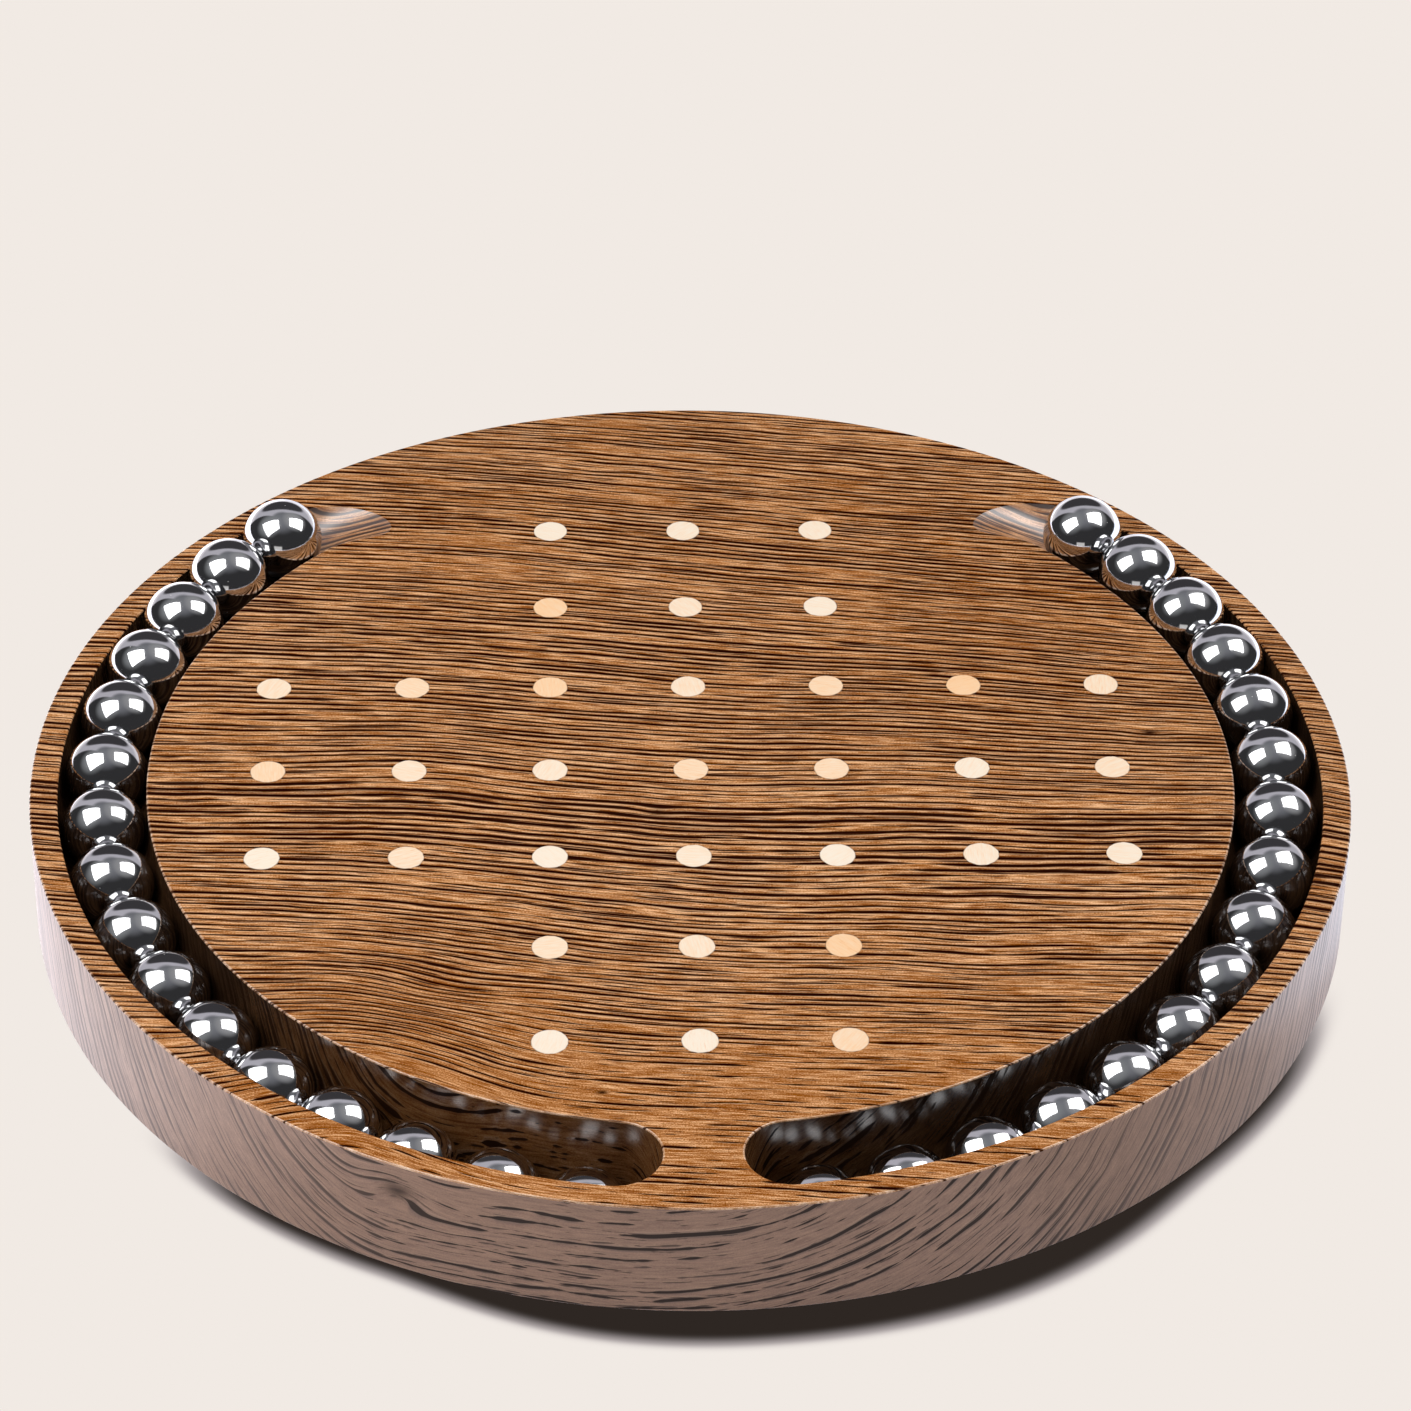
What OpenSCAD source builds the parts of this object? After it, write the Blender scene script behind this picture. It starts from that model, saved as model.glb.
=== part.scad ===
// Round solitaire board with steel balls. The balls lie in two mirrored channels along the
// rim, which fall from a shallow run-out at the back to a deep round end at the front.
// Millimetres, +Z up. The origin is the middle of the footprint, on the table.
// The player sits at -Y, so left is -X and the back is +Y.

/* [Board] */
// Diameter of the round oak board
board_d = 300; // [280:1:340]
// Thickness of the board, from its underside to the playing surface
board_t = 28.5; // [26:0.5:40]
// Radius of the rounding on the upper edge
edge_r = 0.4; // [0.2:0.1:2]

/* [Marks] */
// Distance between neighbouring marks
mark_pitch = 32.1; // [24:0.1:35]
// Diameter of the maple dowels let in as marks
mark_d = 8; // [5:0.5:14]
// Length of a mark
mark_l = 5; // [3:0.5:8]
// Thickness of the magnet under each mark
magnet_t = 3; // [2:0.5:6]
// Clearance around a mark or a magnet in its hole, on the radius
mark_fit = 0.05; // [0.02:0.01:0.2]
// Glue line under a mark and under a magnet
glue_t = 0.1; // [0.05:0.05:0.3]

/* [Balls] */
// Diameter of a steel ball
ball_d = 19; // [16:0.1:20]
// Gap between neighbouring balls, seen from above
ball_gap = 0.12; // [0.05:0.01:0.5]

/* [Channels] */
// Wood between a channel and the outside of the board
rim_w = 6.3; // [4:0.1:12]
// Clearance beside a ball, on each side
side_fit = 0.5; // [0.2:0.05:1.5]
// Clearance under a ball
floor_fit = 0.2; // [0.05:0.05:0.4]
// Depth of the groove under the first ball, at the back
first_depth = 8.65; // [6:0.05:14]
// Wood left under the groove at its deep end, at the front
floor_t = 1.5; // [1:0.1:6]
// Wood between the two deep ends
bridge_w = 17; // [10:0.5:60]
// How far the last ball stands back from the middle of the round end
stop_gap = 6.2; // [0:0.1:12]

/* [Run-out] */
// Distance from the first ball's centre to the start of the run-out
lead_l = 2.4; // [2:0.1:8]
// Length of the run-out, up to where it leaves the surface
runout_l = 26; // [15:0.5:40]
// Radius on which the run-out turns inward
runout_r = 19.2; // [12:0.1:60]

/* [Feet] */
// Diameter of a felt foot
foot_d = 20; // [12:1:30]
// Thickness of a felt foot
foot_t = 1.5; // [1:0.5:6]
// Distance from the board's outside to a foot's centre
foot_inset = 35; // [20:1:60]
// Angle of a foot's centre, from the left-to-right line
foot_a = 45; // [30:1:60]

/* [Hidden] */
$fn = 96;
LEFT = -1;
RIGHT = 1;
FRONT = -1;
BACK = 1;

// Marks in each row, from the front to the back
ROWS = [3, 3, 7, 7, 7, 3, 3];
// Balls in one channel
BALLS = 16;

// Steps of the round floor, of the arc in degrees, of the run-out, the round end and the edge
FLOOR_STEPS = 12;
ARC_STEP = 3;
RUNOUT_STEPS = 14;
END_STEPS = 6;
EDGE_STEPS = 4;
// The round end is closed by a narrow flat, this far round from its sides
END_TURN = 85;
// The run-out's cut goes on past the surface by this share of its length
PAST = 0.04;

OAK = [0.60, 0.42, 0.25];
MAPLE = [0.96, 0.83, 0.69];
STEEL = [0.78, 0.79, 0.80];
NICKEL = [0.66, 0.66, 0.64];
FELT = [0.22, 0.20, 0.18];

board_r = board_d/2;
board_bottom = foot_t;
board_top = board_bottom + board_t;
socket_d = mark_d + 2*mark_fit;
socket_depth = mark_l + magnet_t + 2*glue_t;
foot_ring = board_r - foot_inset;

ball_r = ball_d/2;
cutter_r = ball_r + side_fit;
// The channels' centreline, and where on it the round end and each ball are.
// Angles are taken for the left channel, from +X, and grow from the back to the front.
path_r = board_r - rim_w - cutter_r;
end_a = 270 - asin((bridge_w/2 + cutter_r)/path_r);
last_a = end_a - degrees_on(stop_gap, path_r);
ball_step = 2*asin((ball_d + ball_gap)/2/path_r);
first_a = last_a - (BALLS - 1)*ball_step;
start_a = first_a - degrees_on(lead_l, path_r);
// Centre of the run-out's turn
turn_c = (path_r - runout_r)*[cos(start_a), sin(start_a)];

function degrees_on(l, r) = l/r*180/PI;

// Height of the groove's floor on the ramp at angle a
function ramp_z(a) =
    let (fall = board_t - floor_t - first_depth)
    board_top - first_depth - fall*(a - first_a)/(end_a - first_a);

function ball_a(k) = first_a + (k - 1)*ball_step;
function ball_pos(k) =
    let (a = ball_a(k))
    [path_r*cos(a), path_r*sin(a), ramp_z(a) + floor_fit + ball_r];

// One cross-section of the groove: a round floor between upright walls.
// c, r and a place it on its arc, w is its half width, ahead moves it on along the path
// and z is the floor's height at full width.
function section(c, r, a, w, ahead, z) =
    let (out = [cos(a), sin(a)], on = [-sin(a), cos(a)], p = c + r*out + ahead*on)
    concat(
        [for (i = [0:FLOOR_STEPS])
            let (t = 180*(1 + i/FLOOR_STEPS), q = p + w*cos(t)*out)
            [q[0], q[1], z + cutter_r + w*sin(t)]],
        [for (side = [1, -1])
            let (q = p + side*w*out)
            [q[0], q[1], board_top + 2*cutter_r]]);

// The run-out, from past its tip down to the ramp
function runout_rings() =
    [for (i = [RUNOUT_STEPS:-1:1])
        let (s = runout_l*(1 + PAST)*i/RUNOUT_STEPS,
             z = ramp_z(start_a) + (board_top - ramp_z(start_a))*s/runout_l)
        section(turn_c, runout_r, start_a - degrees_on(s, runout_r), cutter_r, 0, z)];

// The ramp under the balls
function ramp_rings() =
    let (n = ceil((end_a - start_a)/ARC_STEP))
    [for (i = [0:n])
        let (a = start_a + (end_a - start_a)*i/n)
        section([0, 0], path_r, a, cutter_r, 0, ramp_z(a))];

// The round end
function end_rings() =
    [for (i = [1:END_STEPS])
        let (t = END_TURN*i/END_STEPS)
        section([0, 0], path_r, end_a, cutter_r*cos(t), cutter_r*sin(t), ramp_z(end_a))];

// Skin of a solid through rings of n points each
function skin(rings, n) =
    let (m = len(rings))
    concat(
        [[for (i = [n - 1:-1:0]) i]],
        [for (j = [0:m - 2]) for (i = [0:n - 1])
            let (p = j*n + i, q = j*n + (i + 1)%n)
            each [[p, q, q + n], [p, q + n, p + n]]],
        [[for (i = [0:n - 1]) (m - 1)*n + i]]);

// What the cutter takes out of the board for the left channel
module channel_cut() {
    rings = concat(runout_rings(), ramp_rings(), end_rings());
    polyhedron([for (ring = rings) each ring], skin(rings, FLOOR_STEPS + 3), convexity = 12);
}

module on_side(side) {
    if (side == RIGHT) mirror([1, 0, 0]) children();
    else children();
}

// Places its children at each mark of a row
module at_marks(row) {
    n = ROWS[row - 1];
    y = (row - (len(ROWS) + 1)/2)*mark_pitch;
    for (i = [0:n - 1]) translate([(i - (n - 1)/2)*mark_pitch, y, 0]) children();
}

module board_blank() {
    rotate_extrude()
        polygon(concat(
            [[0, board_bottom], [board_r, board_bottom]],
            [for (i = [0:EDGE_STEPS])
                let (t = 90*i/EDGE_STEPS)
                [board_r - edge_r*(1 - cos(t)), board_top - edge_r*(1 - sin(t))]],
            [[0, board_top]]));
}

module board() {
    color(OAK)
        difference() {
            board_blank();
            for (row = [1:len(ROWS)])
                at_marks(row)
                    translate([0, 0, board_top - socket_depth])
                        cylinder(d = socket_d, h = socket_depth + 1);
            for (side = [LEFT, RIGHT]) on_side(side) channel_cut();
        }
}

module marks_row(row) {
    color(MAPLE)
        at_marks(row)
            translate([0, 0, board_top - mark_l]) cylinder(d = mark_d, h = mark_l);
}

module magnets_row(row) {
    color(NICKEL)
        at_marks(row)
            translate([0, 0, board_top - socket_depth + glue_t])
                cylinder(d = mark_d, h = magnet_t);
}

module foot(side, end) {
    color(FELT)
        translate([side*foot_ring*cos(foot_a), end*foot_ring*sin(foot_a), 0])
            cylinder(d = foot_d, h = foot_t);
}

module ball(side, k) {
    color(STEEL) on_side(side) translate(ball_pos(k)) sphere(d = ball_d);
}

board();
marks_row(1);  // marks_row_1
marks_row(2);  // marks_row_2
marks_row(3);  // marks_row_3
marks_row(4);  // marks_row_4
marks_row(5);  // marks_row_5
marks_row(6);  // marks_row_6
marks_row(7);  // marks_row_7
magnets_row(1);  // magnets_row_1
magnets_row(2);  // magnets_row_2
magnets_row(3);  // magnets_row_3
magnets_row(4);  // magnets_row_4
magnets_row(5);  // magnets_row_5
magnets_row(6);  // magnets_row_6
magnets_row(7);  // magnets_row_7
foot(LEFT, FRONT);  // foot_front_left
foot(RIGHT, FRONT);  // foot_front_right
foot(LEFT, BACK);  // foot_back_left
foot(RIGHT, BACK);  // foot_back_right
ball(LEFT, 1);  // ball_left_01
ball(LEFT, 2);  // ball_left_02
ball(LEFT, 3);  // ball_left_03
ball(LEFT, 4);  // ball_left_04
ball(LEFT, 5);  // ball_left_05
ball(LEFT, 6);  // ball_left_06
ball(LEFT, 7);  // ball_left_07
ball(LEFT, 8);  // ball_left_08
ball(LEFT, 9);  // ball_left_09
ball(LEFT, 10);  // ball_left_10
ball(LEFT, 11);  // ball_left_11
ball(LEFT, 12);  // ball_left_12
ball(LEFT, 13);  // ball_left_13
ball(LEFT, 14);  // ball_left_14
ball(LEFT, 15);  // ball_left_15
ball(LEFT, 16);  // ball_left_16
ball(RIGHT, 1);  // ball_right_01
ball(RIGHT, 2);  // ball_right_02
ball(RIGHT, 3);  // ball_right_03
ball(RIGHT, 4);  // ball_right_04
ball(RIGHT, 5);  // ball_right_05
ball(RIGHT, 6);  // ball_right_06
ball(RIGHT, 7);  // ball_right_07
ball(RIGHT, 8);  // ball_right_08
ball(RIGHT, 9);  // ball_right_09
ball(RIGHT, 10);  // ball_right_10
ball(RIGHT, 11);  // ball_right_11
ball(RIGHT, 12);  // ball_right_12
ball(RIGHT, 13);  // ball_right_13
ball(RIGHT, 14);  // ball_right_14
ball(RIGHT, 15);  // ball_right_15
ball(RIGHT, 16);  // ball_right_16
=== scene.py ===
"""Round oak solitaire board with polished steel balls in two sloping channels.

The board, its flush maple marks, the balls and the felt feet are dressed here around the
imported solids. The oak board gets a finer surface than its solid: smooth channels, eased
edges and grain that runs through the whole block. Everything is in metres.
"""

from __future__ import annotations

import logging
import math
from collections.abc import Iterable, Sequence
from dataclasses import dataclass, field
from enum import Enum, IntEnum

import bpy
from mathutils import Matrix, Vector
from mathutils.geometry import delaunay_2d_cdt

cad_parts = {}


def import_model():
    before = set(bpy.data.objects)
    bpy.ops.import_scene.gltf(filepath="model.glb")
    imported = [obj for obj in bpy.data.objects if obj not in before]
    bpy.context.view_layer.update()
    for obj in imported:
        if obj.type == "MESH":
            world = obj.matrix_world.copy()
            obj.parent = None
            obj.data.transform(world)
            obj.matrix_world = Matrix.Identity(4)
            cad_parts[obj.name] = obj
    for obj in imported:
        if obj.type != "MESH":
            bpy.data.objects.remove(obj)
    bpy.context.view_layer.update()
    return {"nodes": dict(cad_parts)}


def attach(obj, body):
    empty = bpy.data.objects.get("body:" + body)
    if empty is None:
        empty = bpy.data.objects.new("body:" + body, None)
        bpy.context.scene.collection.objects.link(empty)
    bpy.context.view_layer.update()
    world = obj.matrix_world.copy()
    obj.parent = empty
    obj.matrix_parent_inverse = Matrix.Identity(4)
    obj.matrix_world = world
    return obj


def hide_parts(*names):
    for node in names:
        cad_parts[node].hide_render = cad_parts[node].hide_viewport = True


LOG = logging.getLogger("solitaire_board")
MM = 0.001
UP = Vector((0.0, 0.0, 1.0))
Socket = bpy.types.NodeSocket
Triple = tuple[float, float, float]
Colour = Triple


def srgb(red: int, green: int, blue: int) -> Colour:
    """Turns a display colour into linear light.

    Args:
        red: Red, 0 to 255.
        green: Green, 0 to 255.
        blue: Blue, 0 to 255.

    Returns:
        The linear colour.
    """
    return tuple(
        v / 12.92 if v <= 0.04045 else ((v + 0.055) / 1.055) ** 2.4
        for v in (red / 255, green / 255, blue / 255)
    )


def outward(angle: float) -> Vector:
    """Points level away from the middle, at an angle from the right."""
    return Vector((math.cos(angle), math.sin(angle), 0.0))


class Side(Enum):
    """The two mirrored halves of the board, by the turn of X that makes them."""

    LEFT = 1
    RIGHT = -1


class Zone(IntEnum):
    """The board's zones, by the place of each one's finish."""

    TOP = 0
    CHANNEL = 1
    SIDE = 2
    EDGE = 3
    RUN_OUT = 4


class Sketch:
    """Short-hand for building one node tree."""

    def __init__(self, tree: bpy.types.NodeTree) -> None:
        """Starts on a node tree.

        Args:
            tree: The tree that gets the nodes.
        """
        self.tree = tree

    def node(
        self, kind: str, inputs: dict[int | str, object] | None = None, **props: object
    ) -> bpy.types.Node:
        """Adds a node, sets its properties and fills its inputs.

        Args:
            kind: The node's type name.
            inputs: Socket index or name to a value or to a socket to link.
            **props: Properties of the node.

        Returns:
            The new node.
        """
        made = self.tree.nodes.new(kind)
        for name, value in props.items():
            setattr(made, name, value)
        for key, value in (inputs or {}).items():
            self.feed(made.inputs[key], value)
        return made

    def feed(self, target: Socket, value: object) -> None:
        """Links a socket to an input, or sets the input's value.

        Args:
            target: The input.
            value: A socket, a number, a vector or a colour.
        """
        if isinstance(value, bpy.types.NodeSocket):
            self.tree.links.new(value, target)
        elif isinstance(value, (tuple, list)) and target.type == "RGBA" and len(value) == 3:
            target.default_value = (*value, 1.0)
        else:
            target.default_value = value

    def fill(self, node: bpy.types.Node, **values: object) -> None:
        """Fills inputs of a node by name.

        Args:
            node: The node.
            **values: Values or sockets; an underscore stands for a space.
        """
        for name, value in values.items():
            self.feed(node.inputs[name.replace("_", " ")], value)

    def math(self, operation: str, *values: object) -> Socket:
        """Adds a math node.

        Args:
            operation: The operation's name.
            *values: Its inputs, numbers or sockets.

        Returns:
            The result.
        """
        return self.node("ShaderNodeMath", dict(enumerate(values)), operation=operation).outputs[0]

    def times(self, first: object, second: object) -> Socket:
        """Multiplies two values."""
        return self.math("MULTIPLY", first, second)

    def scaled(self, value: object, factor: object, start: object) -> Socket:
        """Multiplies two values and adds a third."""
        return self.math("MULTIPLY_ADD", value, factor, start)

    def rest(self, value: object) -> Socket:
        """Takes a value from one."""
        return self.math("SUBTRACT", 1.0, value)

    def size(self, value: object) -> Socket:
        """Drops a value's sign."""
        return self.math("ABSOLUTE", value)

    def split(self, vector: object) -> Sequence[Socket]:
        """Gives the three parts of a vector."""
        return self.node("ShaderNodeSeparateXYZ", {0: vector}).outputs

    def shares(self, colour: object) -> Sequence[Socket]:
        """Gives the three parts of a colour, for use as chances."""
        return self.node("ShaderNodeSeparateColor", {0: colour}).outputs

    def bell(self, gap: Socket, reach: float) -> Socket:
        """Draws a smooth bump, one in its middle.

        Args:
            gap: Distance from the middle.
            reach: How far the bump goes.

        Returns:
            The bump's height.
        """
        return self.math("EXPONENT", self.times(self.times(gap, gap), -0.5 / reach**2))

    def vector(self, operation: str, *values: object) -> Socket:
        """Adds a vector math node.

        Args:
            operation: The operation's name.
            *values: Its inputs, vectors or sockets.

        Returns:
            The result: a value for lengths and products, else a vector.
        """
        made = self.node("ShaderNodeVectorMath", dict(enumerate(values)), operation=operation)
        scalar = operation in {"DISTANCE", "LENGTH", "DOT_PRODUCT"}
        return made.outputs["Value" if scalar else "Vector"]

    def combine(self, x: object, y: object, z: object) -> Socket:
        """Joins three values into a vector.

        Args:
            x: First part.
            y: Second part.
            z: Third part.

        Returns:
            The vector.
        """
        return self.node("ShaderNodeCombineXYZ", {0: x, 1: y, 2: z}).outputs[0]

    def noise(self, where: object, scale: float, detail: float = 2.0, rough: float = 0.5) -> Socket:
        """Adds a noise texture.

        Args:
            where: The position that it reads.
            scale: Its scale.
            detail: Its octaves.
            rough: How much the finer octaves count.

        Returns:
            The noise value, about 0.2 to 0.8.
        """
        made = self.node(
            "ShaderNodeTexNoise",
            {"Vector": where, "Scale": scale, "Detail": detail, "Roughness": rough},
        )
        return made.outputs[0]

    def ramp(self, value: object, low: object, high: object) -> Socket:
        """Turns a value into a smooth 0 to 1 step.

        Args:
            value: The value.
            low: Where the step starts.
            high: Where it ends.

        Returns:
            The step.
        """
        return self.node(
            "ShaderNodeMapRange",
            {"Value": value, "From Min": low, "From Max": high},
            interpolation_type="SMOOTHSTEP",
        ).outputs["Result"]

    def blend(self, share: object, first: object, second: object) -> Socket:
        """Mixes two colours.

        Args:
            share: How much of the second.
            first: First colour.
            second: Second colour.

        Returns:
            The mixed colour.
        """
        sockets = {0: share, 6: first, 7: second}
        return self.node("ShaderNodeMix", sockets, data_type="RGBA").outputs[2]

    def bump(self, shader: bpy.types.Node, height: Socket, strength: float, rise: float) -> None:
        """Roughens a shader's surface.

        Args:
            shader: The shader.
            height: The surface's height, about 0 to 1.
            strength: How much of it shows.
            rise: What a height of 1 is, in metres.
        """
        inputs = {"Height": height, "Strength": strength, "Distance": rise}
        self.feed(shader.inputs["Normal"], self.node("ShaderNodeBump", inputs).outputs[0])


@dataclass(frozen=True)
class Port:
    """One named socket of a node group."""

    name: str
    kind: str = "NodeSocketFloat"
    value: float | None = None


class Effect:
    """A node group that several finishes share."""

    title = "effect"
    takes: tuple[Port, ...] = ()
    gives: tuple[Port, ...] = ()

    def __init__(self) -> None:
        """Builds the group once."""
        self.group = bpy.data.node_groups.new(self.title, "ShaderNodeTree")
        for port in self.takes:
            made = self.group.interface.new_socket(
                name=port.name, in_out="INPUT", socket_type=port.kind
            )
            if port.value is not None:
                made.default_value = port.value
        for port in self.gives:
            self.group.interface.new_socket(name=port.name, in_out="OUTPUT", socket_type=port.kind)
        sketch = Sketch(self.group)
        entry = sketch.node("NodeGroupInput")
        leave = sketch.node("NodeGroupOutput")
        made = self.build(sketch, {p.name: entry.outputs[p.name] for p in self.takes})
        for name, socket in made.items():
            sketch.feed(leave.inputs[name], socket)

    def build(self, sketch: Sketch, given: dict[str, Socket]) -> dict[str, Socket]:
        """Builds the nodes inside the group.

        Args:
            sketch: Builder on the group's tree.
            given: The group's inputs by name.

        Returns:
            The group's outputs by name.
        """
        raise NotImplementedError

    def place(self, sketch: Sketch, **values: object) -> dict[str, Socket]:
        """Places the group in a material.

        Args:
            sketch: Builder on the material's tree.
            **values: Input values; an underscore stands for a space.

        Returns:
            The group's outputs by name.
        """
        node = sketch.node("ShaderNodeGroup", node_tree=self.group)
        sketch.fill(node, **values)
        return {port.name: node.outputs[port.name] for port in self.gives}


@dataclass(frozen=True)
class Swell:
    """A broad bump over the board: a bend of the grain, in millimetres, or a change of tone."""

    height: float
    x: float
    y: float
    reach: float


# Broad bends of the grain, placed over the board as seen from above, in no order.
SWELLS = (
    Swell(-1.6, -60, 3, 14.5),
    Swell(4.3, 10, -54, 30),
    Swell(4.9, -46, -89, 38.5),
    Swell(5.2, -130, -21, 34),
    Swell(-7.7, -67, 72, 70),
    Swell(-12, -74, -100, 21.5),
    Swell(-8, 54, 4, 34),
    Swell(1.9, 65, -70, 13.5),
    Swell(-11.7, 130, -14, 31),
    Swell(-9, -72, -133, 20),
)


@dataclass(frozen=True)
class Knot:
    """A small knot that the grain bends around, in millimetres."""

    height: float
    x: float
    y: float
    z: float
    reach: float
    dark: float = 1.0


KNOTS = (
    Knot(4.5, -65.0, -136.5, 23.0, 4.0),
    Knot(0.7, -8.0, -16.0, 30.0, 1.9),
    Knot(0.8, 106.0, 13.0, 30.0, 2.0),
    Knot(-0.4, -21.0, -113.0, 30.0, 1.2),
    Knot(3.4, -55.0, -78.0, 28.0, 5.0, 0.0),
)


# Broad areas over the board, drawn darker where the height is below 0 and paler where it is above.
TINTS = (
    Swell(-0.11, 65, 70, 34),
    Swell(-0.10, -55, 92, 20),
    Swell(0.10, 2, -46, 20),
    Swell(-0.10, -58, -82, 20),
    Swell(-0.09, 32, -112, 36),
    Swell(0.10, -104, 52, 18),
    Swell(-0.05, 0, 135, 30),
    Swell(-0.12, -78, -122, 22),
)


class GrainFlow(Effect):
    """Turns a place in the oak block into grain coordinates: along, across and around."""

    title = "grain flow"
    takes = (Port("Place", "NodeSocketVector"), Port("Facing", "NodeSocketVector"))
    gives = tuple(Port(n) for n in ("Along", "Across", "Around", "Core", "Tint", "Slant"))
    lean = 0.115
    # The heart of the tree, seen end on: in front of the board and above it.
    heart_y = -197.0
    heart_z = 58.0
    # Size, stretch along the grain, height and seed of each wave of the rings.
    waves = ((26.0, 2.4, 2.6, 3.0), (8.0, 2.2, 1.0, 11.0))
    # A knot reaches twice as far along the grain as across it.
    knot_squeeze = 0.5
    # The higher, the smaller a knot's dark core.
    core_power = 7.0

    def build(self, sketch: Sketch, given: dict[str, Socket]) -> dict[str, Socket]:
        """Bends the block's rings and waves them.

        Args:
            sketch: Builder on the group's tree.
            given: The place, in millimetres, and the way that the surface faces.

        Returns:
            Distance along the grain, across the rings and around them, how close a knot's
            core is, 0 to 1, how much paler the broad areas are drawn there, darker below 0, and how
            steeply the surface cuts the rings, near 0 where it lies along them.
        """
        place = given["Place"]
        parts = sketch.split(place)
        flat = sketch.vector("MULTIPLY", place, (1.0, 1.0, 0.0))
        across = sketch.scaled(parts[0], self.lean, parts[1])

        def spread(over: Sequence[Swell], total: object) -> object:
            """Adds smooth bumps to a value.

            Args:
                over: The bumps.
                total: The value.

            Returns:
                The sum.
            """
            for swell in over:
                gap = sketch.vector("DISTANCE", flat, (swell.x, swell.y, 0.0))
                total = sketch.scaled(sketch.bell(gap, swell.reach), swell.height, total)
            return total

        across = spread(SWELLS, across)
        tint = spread(TINTS, 0.0)
        drawn = sketch.vector("MULTIPLY", place, (self.knot_squeeze, 1.0, 1.0))
        core: object = 0.0
        for knot in KNOTS:
            gap = sketch.vector("DISTANCE", drawn, (knot.x * self.knot_squeeze, knot.y, knot.z))
            power = sketch.bell(gap, knot.reach)
            across = sketch.scaled(power, knot.height, across)
            spot = sketch.times(sketch.math("POWER", power, self.core_power), knot.dark)
            core = sketch.math("MAXIMUM", spot, core)
        for size, stretch, height, seed in self.waves:
            scale = (1 / (size * stretch), 1 / size, 1 / size)
            shift = (seed, seed * 1.7, seed * 0.6)
            where = sketch.vector("MULTIPLY_ADD", place, scale, shift)
            wave = sketch.math("SUBTRACT", sketch.noise(where, 1.0, 1.0), 0.5)
            across = sketch.scaled(wave, height, across)
        from_y = sketch.math("SUBTRACT", across, self.heart_y)
        from_z = sketch.math("SUBTRACT", parts[2], self.heart_z)
        square = sketch.scaled(from_y, from_y, sketch.times(from_z, from_z))
        ring = sketch.math("SQRT", square)
        around = sketch.times(sketch.math("ARCTAN2", from_z, from_y), ring)
        rise = sketch.combine(sketch.times(from_y, self.lean), from_y, from_z)
        rise = sketch.vector("DIVIDE", rise, sketch.combine(ring, ring, ring))
        faced = sketch.vector("DOT_PRODUCT", rise, given["Facing"])
        slant = sketch.times(faced, faced)
        slant = sketch.math("SUBTRACT", sketch.vector("DOT_PRODUCT", rise, rise), slant)
        slant = sketch.math("SQRT", sketch.math("MAXIMUM", slant, 0.0))
        return {
            "Along": parts[0], "Across": ring, "Around": around, "Core": core,
            "Tint": tint, "Slant": slant,
        }


class PoreLines(Effect):
    """Rows of dark open pores drawn out along the grain, one line to each thin layer."""

    title = "pore lines"
    takes = (
        Port("Along"),
        Port("Across"),
        Port("Around"),
        Port("Spacing", value=2.0),
        Port("Width", value=0.2),
        Port("Length", value=18.0),
        Port("Depth", value=9.0),
        Port("Wander", value=0.9),
        Port("Break", value=0.42),
        Port("Seed", value=0.0),
    )
    gives = (Port("Pore"), Port("Highlight"), Port("Soak"))
    # How far apart neighbouring layers read the noises for sway and for strength.
    sway_step = 7.31
    strength_step = 5.77
    thinnest = 0.015

    def build(self, sketch: Sketch, given: dict[str, Socket]) -> dict[str, Socket]:
        """Draws a wandering line in each layer, thick where a noise is high and broken elsewhere.

        Args:
            sketch: Builder on the group's tree.
            given: Grain coordinates and the lines' sizes.

        Returns:
            How much of a pore a place is, of the painted highlight along one side of one, and how
            far it is soaked from one, 0 to 1.
        """
        layer = sketch.math("DIVIDE", given["Across"], given["Spacing"])
        layer = sketch.math("ADD", layer, given["Seed"])
        number = sketch.math("FLOOR", layer)
        inside = sketch.math("SUBTRACT", sketch.math("FRACT", layer), 0.5)
        along = sketch.math("DIVIDE", given["Along"], given["Length"])
        around = sketch.math("DIVIDE", given["Around"], given["Depth"])
        slow = sketch.combine(
            sketch.times(along, 0.5),
            sketch.times(around, 0.5),
            sketch.scaled(number, self.sway_step, given["Seed"]),
        )
        sway = sketch.math("SUBTRACT", sketch.noise(slow, 1.0, 1.0), 0.5)
        line = sketch.scaled(sketch.times(sway, given["Wander"]), -1.0, inside)
        quick = sketch.combine(
            sketch.math("ADD", along, 41.0), around, sketch.times(number, self.strength_step)
        )
        strength = sketch.noise(quick, 1.0, 2.0, 0.55)
        chance = sketch.node("ShaderNodeTexWhiteNoise", {"W": number}, noise_dimensions="1D")
        picks = sketch.shares(chance.outputs["Color"])
        start = sketch.scaled(picks[0], 0.15, given["Break"])
        share = sketch.ramp(strength, start, sketch.math("ADD", start, 0.24))
        weight = sketch.scaled(picks[1], 0.8, 0.6)
        width = sketch.times(sketch.times(share, given["Width"]), weight)
        width = sketch.math("ADD", width, self.thinnest)
        edge = sketch.ramp(sketch.size(line), sketch.times(width, 0.85), width)
        pore = sketch.times(sketch.rest(edge), sketch.ramp(share, 0.0, 0.25))
        # Painted highlight: a pale band along one side of each line, as on the lit edge of a
        # groove.
        highlight = sketch.math("ADD", line, sketch.times(width, 1.5))
        highlight = sketch.ramp(sketch.size(highlight), sketch.times(width, 0.2), width)
        highlight = sketch.times(sketch.rest(highlight), share)
        soak = sketch.ramp(sketch.size(line), width, sketch.scaled(width, 2.2, 0.06))
        soak = sketch.times(sketch.rest(soak), share)
        return {"Pore": pore, "Highlight": highlight, "Soak": soak}


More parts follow.
